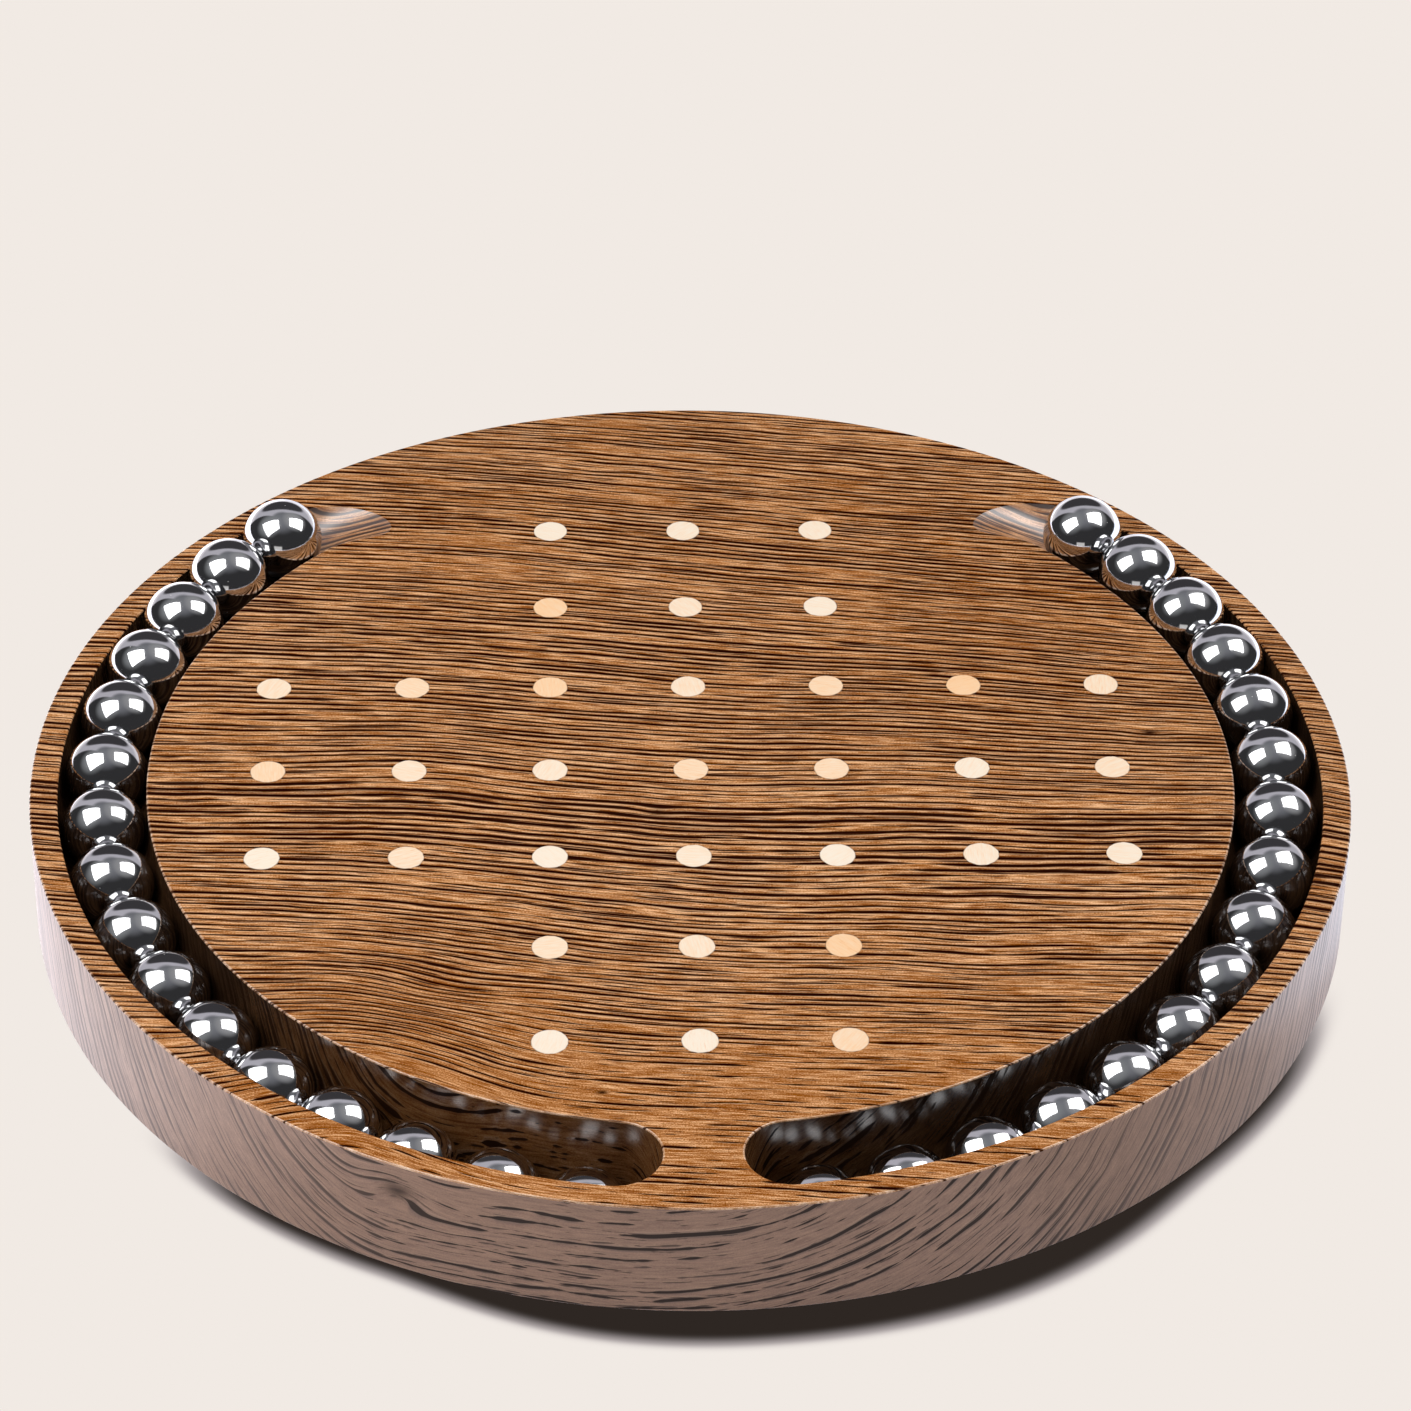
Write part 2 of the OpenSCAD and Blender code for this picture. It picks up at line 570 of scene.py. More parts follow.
class DustSpecks(Effect):
    """Sparse bright specks of dust, each a fraction of a millimetre."""

    title = "dust specks"
    takes = (
        Port("Place", "NodeSocketVector"),
        Port("Spacing", value=3.0),
        Port("Speck", value=0.16),
        Port("Share", value=0.5),
    )
    gives = (Port("Dust"),)

    def build(self, sketch: Sketch, given: dict[str, Socket]) -> dict[str, Socket]:
        """Puts a dot at some of the points of a jittered lattice.

        Args:
            sketch: Builder on the group's tree.
            given: The place in millimetres, spacing, dot radius and share of points used.

        Returns:
            How much of a speck a place is, 0 to 1.
        """
        scale = sketch.math("DIVIDE", 1.0, given["Spacing"])
        cell = sketch.node("ShaderNodeTexVoronoi", {"Vector": given["Place"], "Scale": scale})
        gap = sketch.times(cell.outputs["Distance"], given["Spacing"])
        pick = sketch.shares(cell.outputs["Color"])
        size = sketch.times(given["Speck"], pick[1])
        dot = sketch.rest(sketch.ramp(gap, sketch.times(size, 0.6), size))
        used = sketch.math("LESS_THAN", pick[0], given["Share"])
        return {"Dust": sketch.times(dot, used)}


@dataclass
class Effects:
    """The shared effects, each built once."""

    flow: GrainFlow = field(default_factory=GrainFlow)
    pores: PoreLines = field(default_factory=PoreLines)
    dust: DustSpecks = field(default_factory=DustSpecks)


def new_material(name: str) -> tuple[bpy.types.Material, Sketch, bpy.types.Node]:
    """Makes a material with an empty Principled shader.

    Args:
        name: The material's name.

    Returns:
        The material, a builder on its tree and the shader node.
    """
    made = bpy.data.materials.new(name)
    made.use_nodes = True
    made.node_tree.nodes.clear()
    sketch = Sketch(made.node_tree)
    shader = sketch.node("ShaderNodeBsdfPrincipled")
    sketch.node("ShaderNodeOutputMaterial", {"Surface": shader.outputs[0]})
    return made, sketch, shader


def place_in_mm(sketch: Sketch) -> Socket:
    """Reads the place on the object in millimetres.

    Args:
        sketch: Builder on the material's tree.

    Returns:
        The place.
    """
    coords = sketch.node("ShaderNodeTexCoord").outputs["Object"]
    return sketch.vector("MULTIPLY", coords, (1 / MM,) * 3)


@dataclass(frozen=True)
class PoreSet:
    """The sizes of one set of pore lines, in millimetres."""

    spacing: float
    width: float
    length: float
    depth: float
    gap: float
    seed: float
    # How many times longer the lines are at the sides of the board, less one.
    drawn: float = 0.0


@dataclass(frozen=True)
class OiledOak:
    """Brown oiled oak: finely grained wood with dark open pores, under a thin film."""

    name: str = "oiled oak"
    pale: Colour = srgb(246, 194, 146)
    plain: Colour = srgb(195, 134, 80)
    shade: Colour = srgb(140, 76, 18)
    rust: Colour = srgb(120, 58, 12)
    stain: Colour = srgb(92, 36, 0)
    pore: Colour = srgb(30, 3, 0)
    # Painted shade in the channels: its dark colour, how much of it covers the wood, and how much
    # less at the front-left.
    painted_shade_colour: Colour = srgb(38, 24, 15)
    painted_shade: float = 0.0
    painted_shade_lifted: float = 0.0
    film: float = 0.06
    film_ior: float = 1.5
    film_roughness: float = 0.24
    contrast: float = 1.0
    sparser: float = 0.16
    shorter: float = 0.5
    faded: float = 0.0
    dry: float = 0.9
    strong: PoreSet = PoreSet(1.8, 0.175, 30.0, 14.0, 0.22, 4.0)
    second: PoreSet = PoreSet(1.15, 0.13, 15.0, 9.0, 0.36, 31.0)
    hair: PoreSet = PoreSet(0.6, 0.22, 8.0, 5.0, 0.36, 57.0)
    second_share: float = 0.95
    hair_share: float = 0.45
    # How much painted highlight the strong and the second pores put on the wood before them, and
    # how much they stain it beside.
    highlights: tuple[float, float] = (0.45, 0.25)
    soaks: tuple[float, float] = (0.6, 0.45)
    # How much of each noise shows in the wood's tone.
    fibre_share: float = 2.5
    grit_share: float = 1.9
    band_share: float = 0.25
    patch_share: float = 0.1
    # Where the wood's front part starts and is full, and its sides, in millimetres.
    front_part: tuple[float, float] = (-70.0, -125.0)
    side_parts: tuple[float, float] = (50.0, 100.0)
    roughness: float = 0.6
    # The bump's strength, and its height in metres.
    relief: tuple[float, float] = (0.4, 0.00012)

    def material(self, effects: Effects) -> bpy.types.Material:
        """Builds the oak.

        Args:
            effects: The shared effects.

        Returns:
            The material.
        """
        made, sketch, shader = new_material(self.name)
        place = place_in_mm(sketch)
        facing = sketch.node("ShaderNodeTexCoord").outputs["Normal"]
        flow = effects.flow.place(sketch, Place=place, Facing=facing)
        along, across, around = flow["Along"], flow["Across"], flow["Around"]
        parts = sketch.split(place)
        front = sketch.ramp(parts[1], *self.front_part)
        cut = sketch.ramp(flow["Slant"], 0.12, 0.5)
        thin = sketch.scaled(cut, 0.82, 0.18)
        dash = sketch.scaled(cut, 0.93, 0.07)
        aside = sketch.ramp(sketch.size(parts[0]), *self.side_parts)
        patch = sketch.noise(sketch.vector("MULTIPLY", place, (1 / 60, 1 / 34, 1 / 34)), 1.0, 1.0)

        def streaks(length: float, thick: float, deep: float, seed: float, detail: float) -> Socket:
            """Draws noise out along the grain.

            Args:
                length: Size along the grain.
                thick: Size across the rings.
                deep: Size around the rings.
                seed: Shift along the grain.
                detail: Octaves.

            Returns:
                The noise value.
            """
            where = sketch.combine(
                sketch.scaled(along, 1 / length, seed),
                sketch.math("DIVIDE", across, thick),
                sketch.math("DIVIDE", around, deep),
            )
            return sketch.noise(where, 1.0, detail, 0.55)

        def lines(sizes: PoreSet) -> dict[str, Socket]:
            """Places one set of pore lines, with wider breaks to the front and in some areas.

            Args:
                sizes: Its sizes.

            Returns:
                Its masks.
            """
            gap = sketch.scaled(front, self.sparser, sizes.gap - 0.04)
            gap = sketch.scaled(patch, 0.08, gap)
            length = sketch.scaled(front, -self.shorter, 1.0)
            length = sketch.scaled(aside, sizes.drawn, length)
            length = sketch.times(length, sizes.length)
            return effects.pores.place(
                sketch, Along=along, Across=across, Around=around, Spacing=sizes.spacing,
                Width=sketch.times(thin, sizes.width), Length=length,
                Depth=sketch.times(dash, sizes.depth), Break=gap, Seed=sizes.seed,
            )

        strong, second, hair = lines(self.strong), lines(self.second), lines(self.hair)
        bands = streaks(70.0, 6.0, 40.0, 2.0, 2.0)
        fibre = streaks(6.0, 0.32, 3.0, 8.0, 5.0)
        flecks = streaks(5.0, 1.1, 4.0, 21.0, 2.0)
        grit = sketch.noise(sketch.vector("MULTIPLY", place, (2.6, 5.0, 5.0)), 1.0, 2.0, 0.6)
        bright: object = 0.5
        for part, weight in (
            (fibre, self.fibre_share), (grit, self.grit_share),
            (bands, self.band_share), (patch, self.patch_share),
        ):
            part = sketch.math("SUBTRACT", part, 0.5)
            bright = sketch.scaled(part, weight * self.contrast, bright)
        # Painted highlight beside the strong and the second pore lines.
        for pores, share in zip((strong, second), self.highlights):
            bright = sketch.scaled(pores["Highlight"], share, bright)
        bright = sketch.scaled(flow["Tint"], self.contrast, bright)
        # Painted shade: the wood drawn darker towards the front, where less light falls.
        bright = sketch.scaled(front, -0.09, bright)
        body = sketch.blend(sketch.ramp(bright, 0.05, 0.52), self.shade, self.plain)
        body = sketch.blend(sketch.ramp(bright, 0.42, 0.95), body, self.pale)
        rust = sketch.times(sketch.ramp(flecks, 0.56, 0.70), 0.45)
        body = sketch.blend(rust, body, self.rust)
        for pores, share in zip((strong, second), self.soaks):
            body = sketch.blend(sketch.times(pores["Soak"], share), body, self.stain)
        body = sketch.blend(sketch.times(hair["Pore"], self.hair_share), body, self.stain)
        dark = sketch.times(second["Pore"], self.second_share)
        deep = sketch.math("MAXIMUM", strong["Pore"], dark)
        if self.faded:
            deep = sketch.times(deep, sketch.scaled(aside, -self.faded, 1.0))
        deep = sketch.math("MAXIMUM", deep, flow["Core"])
        colour = sketch.blend(sketch.times(deep, 0.98), body, self.pore)
        # Painted shade: the channels' wood drawn darker, less towards the front-left.
        if self.painted_shade:
            painted_shade_share = sketch.scaled(patch, 0.3, self.painted_shade - 0.15)
            left = sketch.times(sketch.ramp(parts[0], 70.0, -20.0), -self.painted_shade_lifted)
            painted_shade_share = sketch.scaled(front, left, painted_shade_share)
            colour = sketch.blend(painted_shade_share, colour, self.painted_shade_colour)
        film = sketch.scaled(deep, -self.dry * self.film, self.film)
        sketch.fill(
            shader, Base_Color=colour, Roughness=self.roughness, Specular_IOR_Level=0.0,
            Coat_Weight=film, Coat_Roughness=self.film_roughness, Coat_IOR=self.film_ior,
        )
        height = sketch.times(fibre, 0.15)
        height = sketch.scaled(hair["Pore"], -0.2, height)
        height = sketch.scaled(deep, -1.0, height)
        sketch.bump(shader, height, *self.relief)
        return made


@dataclass(frozen=True)
class SandedMaple:
    """Pale maple dowel ends, each cut from another stick."""

    pale: Colour = srgb(255, 240, 219)
    warm: Colour = srgb(255, 208, 158)
    line: Colour = srgb(240, 178, 124)
    glue: Colour = srgb(120, 76, 44)
    pitch: float = 32.1
    glue_ring: tuple[float, float] = (3.78, 3.99)

    def material(self, effects: Effects) -> bpy.types.Material:
        """Builds the maple.

        Args:
            effects: The shared effects; not used.

        Returns:
            The material.
        """
        made, sketch, shader = new_material("sanded maple")
        place = place_in_mm(sketch)
        cell = sketch.vector("MULTIPLY_ADD", place, (1 / self.pitch,) * 3, (0.5,) * 3)
        cell = sketch.vector("MULTIPLY", sketch.vector("FLOOR", cell), (1.0, 1.0, 0.0))
        chance = sketch.node("ShaderNodeTexWhiteNoise", {"Vector": cell})
        picks = sketch.shares(chance.outputs["Color"])
        turn = sketch.times(picks[1], math.pi)
        turned = sketch.node(
            "ShaderNodeVectorRotate", {"Vector": place, "Angle": turn}, rotation_type="Z_AXIS"
        ).outputs[0]
        shifted = sketch.vector("MULTIPLY_ADD", chance.outputs["Color"], (40.0,) * 3, turned)
        grain = sketch.noise(sketch.vector("MULTIPLY", shifted, (0.28, 2.2, 0.28)), 1.0, 3.0, 0.7)
        tone = sketch.scaled(picks[0], 0.7, sketch.times(grain, 0.9))
        colour = sketch.blend(sketch.ramp(tone, 0.35, 1.25), self.pale, self.warm)
        streak = sketch.ramp(grain, 0.58, 0.72)
        streak = sketch.times(streak, sketch.ramp(picks[2], 0.35, 1.0))
        colour = sketch.blend(sketch.times(streak, 0.55), colour, self.line)
        offset = sketch.vector("MULTIPLY_ADD", cell, (-self.pitch,) * 3, place)
        offset = sketch.vector("MULTIPLY", offset, (1.0, 1.0, 0.0))
        glue = sketch.ramp(sketch.vector("LENGTH", offset), *self.glue_ring)
        glue = sketch.times(glue, sketch.ramp(sketch.noise(place, 0.6, 1.0), 0.35, 0.6))
        colour = sketch.blend(sketch.times(glue, 0.8), colour, self.glue)
        sketch.fill(shader, Base_Color=colour, Roughness=sketch.scaled(grain, 0.15, 0.38))
        sketch.bump(shader, grain, 0.3, 0.00005)
        return made


@dataclass(frozen=True)
class PolishedSteel:
    """Mirror-bright bearing steel with a little dust."""

    colour: Colour = (0.62, 0.62, 0.63)
    dust: Colour = (0.85, 0.84, 0.82)
    roughness: float = 0.07

    def material(self, effects: Effects) -> bpy.types.Material:
        """Builds the steel.

        Args:
            effects: The shared effects.

        Returns:
            The material.
        """
        made, sketch, shader = new_material("polished steel")
        place = place_in_mm(sketch)
        specks = effects.dust.place(sketch, Place=place, Spacing=2.6, Speck=0.17, Share=0.4)
        film = sketch.noise(place, 0.35, 3.0, 0.6)
        colour = sketch.blend(specks["Dust"], self.colour, self.dust)
        metal = sketch.scaled(specks["Dust"], -0.9, 1.0)
        rough = sketch.scaled(film, 0.06, self.roughness - 0.02)
        rough = sketch.scaled(specks["Dust"], 0.4, rough)
        sketch.fill(shader, Base_Color=colour, Metallic=metal, Roughness=rough)
        return made


@dataclass(frozen=True)
class NickelPlate:
    """Thin nickel on the magnets."""

    colour: Colour = (0.62, 0.60, 0.56)
    bright: Colour = (0.7, 0.69, 0.66)

    def material(self, effects: Effects) -> bpy.types.Material:
        """Builds the nickel.

        Args:
            effects: The shared effects; not used.

        Returns:
            The material.
        """
        made, sketch, shader = new_material("nickel plate")
        film = sketch.noise(place_in_mm(sketch), 1.4, 3.0)
        colour = sketch.blend(film, self.colour, self.bright)
        sketch.fill(
            shader, Base_Color=colour, Roughness=sketch.scaled(film, 0.2, 0.2), Metallic=1.0
        )
        return made


@dataclass(frozen=True)
class WoolFelt:
    """Dense dark felt with loose fibres."""

    colour: Colour = srgb(62, 56, 50)
    fibre: Colour = srgb(110, 102, 92)

    def material(self, effects: Effects) -> bpy.types.Material:
        """Builds the felt.

        Args:
            effects: The shared effects; not used.

        Returns:
            The material.
        """
        made, sketch, shader = new_material("wool felt")
        place = place_in_mm(sketch)
        curl = sketch.noise(place, 1.6, 4.0, 0.7)
        hair = sketch.ramp(sketch.noise(place, 5.0, 2.0, 0.6), 0.5, 0.75)
        colour = sketch.blend(sketch.times(hair, curl), self.colour, self.fibre)
        rough = sketch.scaled(hair, 0.1, 0.88)
        sketch.fill(shader, Base_Color=colour, Roughness=rough, Sheen_Weight=0.3)
        sketch.bump(shader, hair, 0.6, 0.0002)
        return made


Corner = tuple[Vector, Vector]


class MeshDraft:
    """Collects faces whose corners bring their own normals, in millimetres."""

    # Points closer than a ten-thousandth of a millimetre become one.
    fineness = 10000
    least_area = 1e-7

    def __init__(self) -> None:
        """Starts empty."""
        self.points: list[Vector] = []
        self.known: dict[tuple[int, int, int], int] = {}
        self.faces: list[list[int]] = []
        self.normals: list[Vector] = []
        self.finishes: list[int] = []
        self.finish: int = Zone.TOP

    def index(self, point: Vector) -> int:
        """Finds or adds a vertex.

        Args:
            point: The place.

        Returns:
            The vertex number.
        """
        key = tuple(round(v * self.fineness) for v in point)
        if key not in self.known:
            self.known[key] = len(self.points)
            self.points.append(point.copy())
        return self.known[key]

    def face(self, corners: Sequence[Corner]) -> None:
        """Adds a face that looks the way its normals do, unless it has no area.

        Args:
            corners: Places and normals in order.
        """
        kept: list[tuple[int, Vector]] = []
        for point, normal in corners:
            number = self.index(point)
            if all(number != other for other, _ in kept):
                kept.append((number, normal))
        if len(kept) < 3:
            return
        area = Vector()
        first = self.points[kept[0][0]]
        for (a, _), (b, _) in zip(kept[1:], kept[2:]):
            area += (self.points[a] - first).cross(self.points[b] - first)
        if area.length < self.least_area:
            return
        if area.dot(sum((n for _, n in kept), Vector())) < 0:
            kept.reverse()
        self.faces.append([number for number, _ in kept])
        self.normals.extend(normal.normalized() for _, normal in kept)
        self.finishes.append(int(self.finish))

    def strip(self, ribs: Sequence[Sequence[Corner]], closed: bool = False) -> None:
        """Joins ribs of equal length with faces.

        Args:
            ribs: The ribs in order.
            closed: Whether the last joins the first.
        """
        pairs = list(zip(ribs, ribs[1:]))
        if closed:
            pairs.append((ribs[-1], ribs[0]))
        for here, there in pairs:
            for k in range(len(here) - 1):
                self.face([here[k], here[k + 1], there[k + 1], there[k]])

    def object(self, name: str, *materials: bpy.types.Material) -> bpy.types.Object:
        """Makes the object, in metres.

        Args:
            name: Its name.
            *materials: Its materials.

        Returns:
            The object, linked to the scene.
        """
        mesh = bpy.data.meshes.new(name)
        mesh.from_pydata([p * MM for p in self.points], [], self.faces)
        mesh.polygons.foreach_set("use_smooth", [True] * len(mesh.polygons))
        mesh.normals_split_custom_set(self.normals)
        for material in materials:
            mesh.materials.append(material)
        mesh.polygons.foreach_set("material_index", self.finishes)
        made = bpy.data.objects.new(name, mesh)
        bpy.context.scene.collection.objects.link(made)
        return made


@dataclass(frozen=True)
class Spot:
    """A place on a channel's centreline."""

    middle: Vector
    outward: Vector
    onward: Vector
    depth: float
    fall: float


@dataclass
class Channel:
    """One storage channel, in millimetres: a run-out, a falling ramp and a round end."""

    side: Side
    top: float = 30.0
    half: float = 10.0
    ease: float = 0.4
    path: float = 133.7
    bridge: float = 17.0
    stop_gap: float = 6.2
    pitch: float = 19.12
    balls: int = 16
    first_depth: float = 8.65
    last_depth: float = 27.0
    lead: float = 2.4
    runout: float = 26.0
    runout_turn: float = 19.2
    tip_steps: int = 30
    end_steps: int = 30
    body_steps: int = 22
    edge_steps: int = 3
    # A groove narrower than this has no level lip.
    least_reach: float = 0.5

    def __post_init__(self) -> None:
        """Works out the angles of the ramp's two ends and of the first ball."""
        self.end = math.radians(270) - math.asin((self.bridge / 2 + self.half) / self.path)
        step = 2 * math.asin(self.pitch / 2 / self.path)
        self.first = self.end - self.stop_gap / self.path - (self.balls - 1) * step
        self.start = self.first - self.lead / self.path
        self.fall = (self.last_depth - self.first_depth) / (self.path * (self.end - self.first))

    def depth_at(self, angle: float) -> float:
        """Gives the ramp's depth.

        Args:
            angle: Where along the arc.

        Returns:
            The depth under the surface.
        """
        return self.first_depth + self.fall * self.path * (angle - self.first)

    def spots(self) -> list[Spot]:
        """Walks the centreline from the run-out's tip to the round end.

        Returns:
            The places in order.
        """
        made: list[Spot] = []
        lead_in = self.depth_at(self.start)
        turn = outward(self.start) * (self.path - self.runout_turn)
        for i in range(self.tip_steps):
            back = self.runout * (1 - (i / self.tip_steps) ** 2)
            angle = self.start - back / self.runout_turn
            out = outward(angle)
            on = Vector((-out.y, out.x, 0.0))
            depth = lead_in * (1 - back / self.runout)
            made.append(Spot(turn + out * self.runout_turn, out, on, depth, lead_in / self.runout))
        count = math.ceil(math.degrees(self.end - self.start))
        for i in range(count + 1):
            angle = self.start + (self.end - self.start) * i / count
            out = outward(angle)
            on = Vector((-out.y, out.x, 0.0))
            fall = self.fall
            if i == 0:
                fall = (fall + lead_in / self.runout) / 2
            if i == count:
                fall = 0.0
            made.append(Spot(out * self.path, out, on, self.depth_at(angle), fall))
        return made

    def profile(self, depth: float) -> list[tuple[float, float, float]]:
        """Draws half a section, from the eased edge down to the middle of the floor.

        Args:
            depth: The groove's depth there.

        Returns:
            Distance from the middle, height over the surface and tilt of each point.
        """
        if depth >= self.half:
            slope, reach = math.pi / 2, self.half
        else:
            slope = math.acos((self.half - depth) / self.half)
            reach = self.half * math.sin(slope)
        lead = self.ease * math.tan(slope / 2)
        made = [
            (reach + lead - self.ease * math.sin(b), -self.ease * (1 - math.cos(b)), b)
            for b in (slope * i / self.edge_steps for i in range(self.edge_steps))
        ]
        straight = max(depth - self.half - self.ease, 0.0)
        bent = self.half * slope - (lead if depth < self.half else 0.0)
        for i in range(self.body_steps):
            gone = (straight + bent) * i / (self.body_steps - 1)
            if gone < straight:
                made.append((self.half, -self.ease - gone, math.pi / 2))
            else:
                tilt = max(straight + bent - gone, 0.0) / self.half
                floor = self.half * (1 - math.cos(tilt)) - depth
                made.append((self.half * math.sin(tilt), floor, tilt))
        return made

    def rib(self, spot: Spot, way: Vector) -> list[Corner]:
        """Places half a section.

        Args:
            spot: Where on the centreline.
            way: The direction that the half section faces, flat.

        Returns:
            Its corners, from the edge to the middle of the floor.
        """
        made: list[Corner] = []
        least = self.least_reach
        up = UP + spot.onward * spot.fall
        for reach, height, tilt in self.profile(spot.depth):
            point = spot.middle + way * reach
            point.z = self.top + height
            normal = way * -math.sin(tilt) + up * math.cos(tilt)
            if height > -self.ease and tilt < math.pi / 2 and reach > least and not made:
                normal = UP
            made.append((self.turned(point), self.turned(normal)))
        return made

    def turned(self, vector: Vector) -> Vector:
        """Mirrors a left-hand place for the right-hand channel."""
        return Vector((vector.x * self.side.value, vector.y, vector.z))

    def ribs(self) -> list[list[Corner]]:
        """Goes once around the groove, from the tip along the outer wall and back.

        Returns:
            Half a section at each step.
        """
        spots = self.spots()
        made = [self.rib(spot, spot.outward) for spot in spots]
        last = spots[-1]
        for i in range(1, self.end_steps):
            turn = math.pi * i / self.end_steps
            way = last.outward * math.cos(turn) + last.onward * math.sin(turn)
            made.append(self.rib(last, way))
        made.extend(self.rib(spot, -spot.outward) for spot in reversed(spots))
        return made


@dataclass
class Board:
    """The oak board: a round slab with eased edges, 33 sockets and both channels."""

    radius: float = 150.0
    top: float = 30.0
    bottom: float = 1.5
    ease: float = 0.4
    lower_ease: float = 0.3
    rim_steps: int = 360
    edge_steps: int = 4
    pitch: float = 32.1
    socket: float = 4.05
    socket_depth: float = 8.2
    socket_steps: int = 48
    # Outline points nearer than this, in millimetres, are one.
    closest: float = 1e-4
    rows: tuple[int, ...] = (3, 3, 7, 7, 7, 3, 3)
    channels: tuple[Channel, ...] = (Channel(Side.LEFT), Channel(Side.RIGHT))

    def marks(self) -> list[Vector]:
        """Lists the middles of the sockets, on the surface.

        Returns:
            The middles, row by row from the front.
        """
        return [
            Vector(((i - (n - 1) / 2) * self.pitch, (row - 3) * self.pitch, self.top))
            for row, n in enumerate(self.rows)
            for i in range(n)
        ]

    def rim(self, draft: MeshDraft) -> list[Vector]:
        """Adds the eased rim, the side and the underside.

        Args:
            draft: What gets the faces.

        Returns:
            The outline of the playing surface.
        """
        upper, lower, bend = self.ease, self.lower_ease, self.edge_steps
        corners = []
        for i in range(bend + 1):
            tilt = math.pi / 2 * i / bend
            reach = self.radius - upper * (1 - math.sin(tilt))
            corners.append((reach, self.top - upper * (1 - math.cos(tilt)), tilt))
        low = self.bottom + lower
        for share in (0.25, 0.5, 0.75, 1.0):
            height = self.top - upper + (low - self.top + upper) * share
            corners.append((self.radius, height, math.pi / 2))
        for i in range(1, bend):
            tilt = math.pi / 2 * (1 + i / (bend - 1))
            reach = self.radius - lower * (1 - math.sin(tilt))
            corners.append((reach, low + lower * math.cos(tilt), tilt))
        ribs = []
        for k in range(self.rim_steps):
            out = outward(2 * math.pi * k / self.rim_steps)
            ribs.append(
                [
                    (out * reach + UP * height, out * math.sin(tilt) + UP * math.cos(tilt))
                    for reach, height, tilt in corners
                ]
            )
        draft.finish = Zone.EDGE
        draft.strip([rib[: bend + 1] for rib in ribs], closed=True)
        draft.finish = Zone.SIDE
        draft.strip([rib[bend:] for rib in ribs], closed=True)
        draft.finish = Zone.TOP
        draft.face([(rib[-1][0], -UP) for rib in ribs])
        return [rib[0][0] for rib in ribs]

    def sockets(self, draft: MeshDraft) -> list[list[Vector]]:
        """Adds the blind holes for the marks.

        Args:
            draft: What gets the faces.

        Returns:
            The outline of each hole.
        """
        outlines = []
        for middle in self.marks():
            ring = []
            for k in range(self.socket_steps):
                out = outward(2 * math.pi * k / self.socket_steps)
                above = middle + out * self.socket
                below = above - UP * self.socket_depth
                ring.append([(above, -out), (below, -out)])
            draft.strip(ring, closed=True)
            draft.face([(rib[1][0], UP) for rib in ring])
            outlines.append([rib[0][0] for rib in ring])
        return outlines

    def surface(self, draft: MeshDraft, outlines: Sequence[Sequence[Vector]]) -> None:
        """Adds the playing surface: inside the first outline and outside the others.

        Args:
            draft: What gets the faces.
            outlines: Closed outlines, the rim's first.
        """
        points: list[Vector] = []
        loops: list[list[int]] = []
        for outline in outlines:
            loop: list[int] = []
            for point in outline:
                flat = point.to_2d()
                if loop and (flat - points[loop[-1]]).length < self.closest:
                    continue
                loop.append(len(points))
                points.append(flat)
            if (points[loop[0]] - points[loop[-1]]).length < self.closest:
                loop.pop()
                points.pop()
            area = sum(points[a].cross(points[b]) for a, b in zip(loop, loop[1:] + loop[:1]))
            loops.append(loop if area > 0 else loop[::-1])
        flat, _, faces, _, _, owners = delaunay_2d_cdt(points, [], loops, 1, 1e-5, True)
        covered = 0.0
        for corners, owner in zip(faces, owners):
            if list(owner) != [0]:
                continue
            a, b, c = (flat[i] for i in corners)
            covered += abs((b - a).cross(c - a)) / 2
            draft.face([(Vector((*flat[i], self.top)), UP) for i in corners])
        LOG.info("playing surface covers %.0f square millimetres", covered)

    def build(self, finishes: Sequence[bpy.types.Material]) -> bpy.types.Object:
        """Builds the board.

        Args:
            finishes: Those of the faces, channels, side, eased edges and run-outs.

        Returns:
            The board.
        """
        draft = MeshDraft()
        outlines = [self.rim(draft)]
        for channel in self.channels:
            ribs = channel.ribs()
            half, tip, eased = len(ribs) // 2, channel.tip_steps, channel.edge_steps
            for zone, part, kept in (
                (Zone.TOP, slice(half), slice(eased + 1)),
                (Zone.EDGE, slice(half - 1, None), slice(eased + 1)),
                (Zone.RUN_OUT, slice(tip + 1), slice(eased, None)),
                (Zone.RUN_OUT, slice(-tip - 1, None), slice(eased, None)),
                (Zone.CHANNEL, slice(tip, -tip), slice(eased, None)),
            ):
                draft.finish = zone
                draft.strip([rib[kept] for rib in ribs[part]])
            draft.finish = Zone.TOP
            outlines.append([rib[0][0] for rib in ribs])
        outlines.extend(self.sockets(draft))
        self.surface(draft, outlines)
        made = draft.object("oak_board", *finishes)
        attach(made, "board")
        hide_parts("board")
        LOG.info("oak_board: %d faces", len(made.data.polygons))
        return made


@dataclass
class Fittings:
    """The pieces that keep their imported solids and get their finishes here."""

    finishes: dict[str, bpy.types.Material]

    def dress(self, nodes: dict[str, bpy.types.Object]) -> None:
        """Gives each node the finish that its name's first word calls for.

        Args:
            nodes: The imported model's objects by name.
        """
        for name, node in sorted(nodes.items()):
            finish = self.finishes.get(name.split("_")[0])
            if finish is None:
                continue
            node.data.materials.clear()
            node.data.materials.append(finish)
            LOG.info("%s: %s", name, finish.name)


